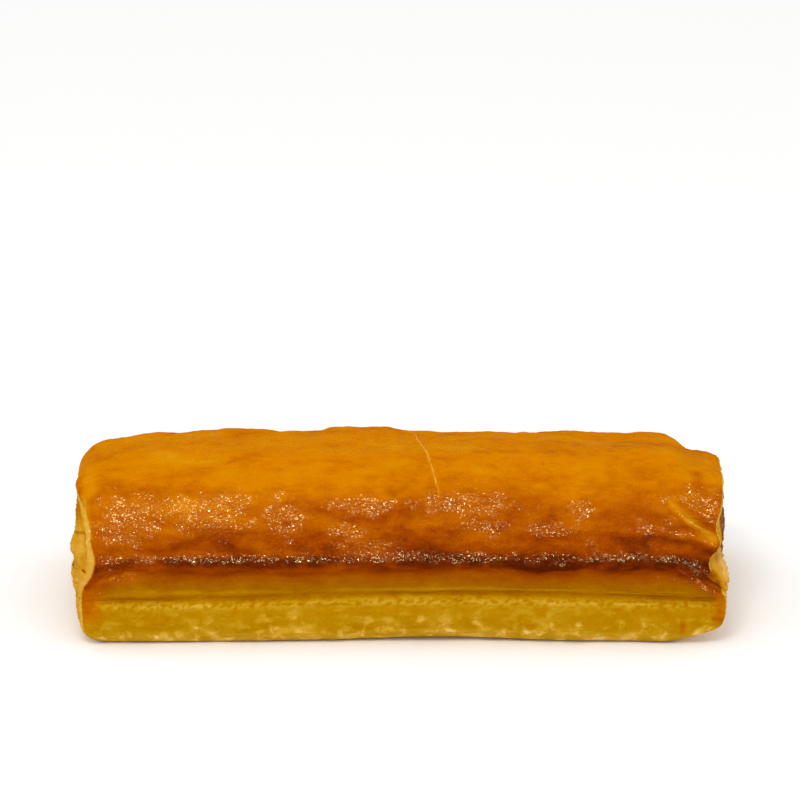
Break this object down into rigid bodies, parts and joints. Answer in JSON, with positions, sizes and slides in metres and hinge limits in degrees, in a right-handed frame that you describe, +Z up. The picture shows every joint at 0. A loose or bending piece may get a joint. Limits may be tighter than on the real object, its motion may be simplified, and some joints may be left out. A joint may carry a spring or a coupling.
{
  "type": "sausage roll",
  "caption": "Long baked puff pastry roll with a domed glossy top, a pressed lip along its front and cut ends that show a core of minced meat.",
  "frame": {"origin": "centre of the bounding box, on the underside", "axes": "+X along the roll, +Y from the pressed lip at the front to the fold at the back, +Z up"},
  "size_m": [0.1506, 0.062, 0.0377],
  "materials": {
    "pastry": "baked puff pastry: glossy egg-washed orange-brown top, darker in the crease, matt yellow at the foot and the cut ends",
    "filling": "cooked minced meat, dark brown, coarse and slightly moist"
  },
  "bodies": {
    "root": {"pastry": "pastry", "filling": "filling"}
  },
  "joints": []
}
